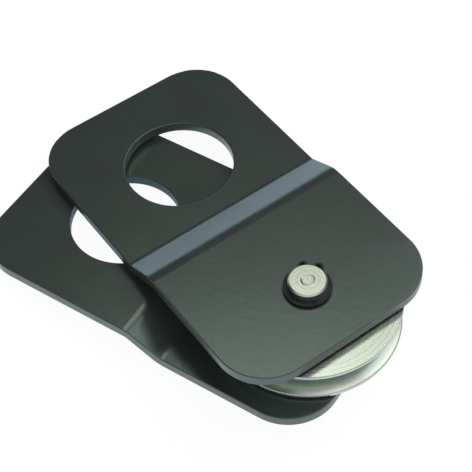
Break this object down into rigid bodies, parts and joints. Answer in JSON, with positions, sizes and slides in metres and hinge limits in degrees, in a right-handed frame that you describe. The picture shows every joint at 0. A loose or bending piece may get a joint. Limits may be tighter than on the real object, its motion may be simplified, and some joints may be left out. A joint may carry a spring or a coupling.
{
  "type": "pulley block",
  "caption": "Pulley block lying open: joggled, powder-coated side plates with large shackle holes swing on a turned centre pin that carries a grooved rope sheave.",
  "frame": {"origin": "on the centre pin's axis, half way between the side plates, at the middle of the rope groove", "axes": "+Z along the centre pin towards the upper side plate, +X from the pin towards the lower side plate's shackle hole"},
  "size_m": [0.143, 0.1091, 0.0294],
  "materials": {
    "plate_coating": "satin",
    "sheave_zinc": "satin",
    "pin_zinc": "satin",
    "bush_bronze": "satin",
    "washer_steel": "satin",
    "ring_phosphate": "matte"
  },
  "bodies": {
    "lower_plate": {"lower_side_plate": "plate_coating", "lower_thrust_washer": "washer_steel"},
    "pin": {"centre_pin": "pin_zinc", "upper_retaining_ring": "ring_phosphate", "lower_retaining_ring": "ring_phosphate"},
    "wheel": {"sheave": "sheave_zinc", "sheave_bush": "bush_bronze"},
    "upper_plate": {"upper_side_plate": "plate_coating", "upper_thrust_washer": "washer_steel"}
  },
  "joints": [
    {"name": "pin_turn", "type": "hinge", "parent": "lower_plate", "child": "pin", "pos_m": [0, 0, 0], "axis": [0, 0, 1], "continuous": true},
    {"name": "sheave_spin", "type": "hinge", "parent": "lower_plate", "child": "wheel", "pos_m": [0, 0, 0], "axis": [0, 0, 1], "continuous": true},
    {"name": "upper_plate_swing", "type": "hinge", "parent": "lower_plate", "child": "upper_plate", "pos_m": [0, 0, 0], "axis": [0, 0, 1], "continuous": true}
  ]
}
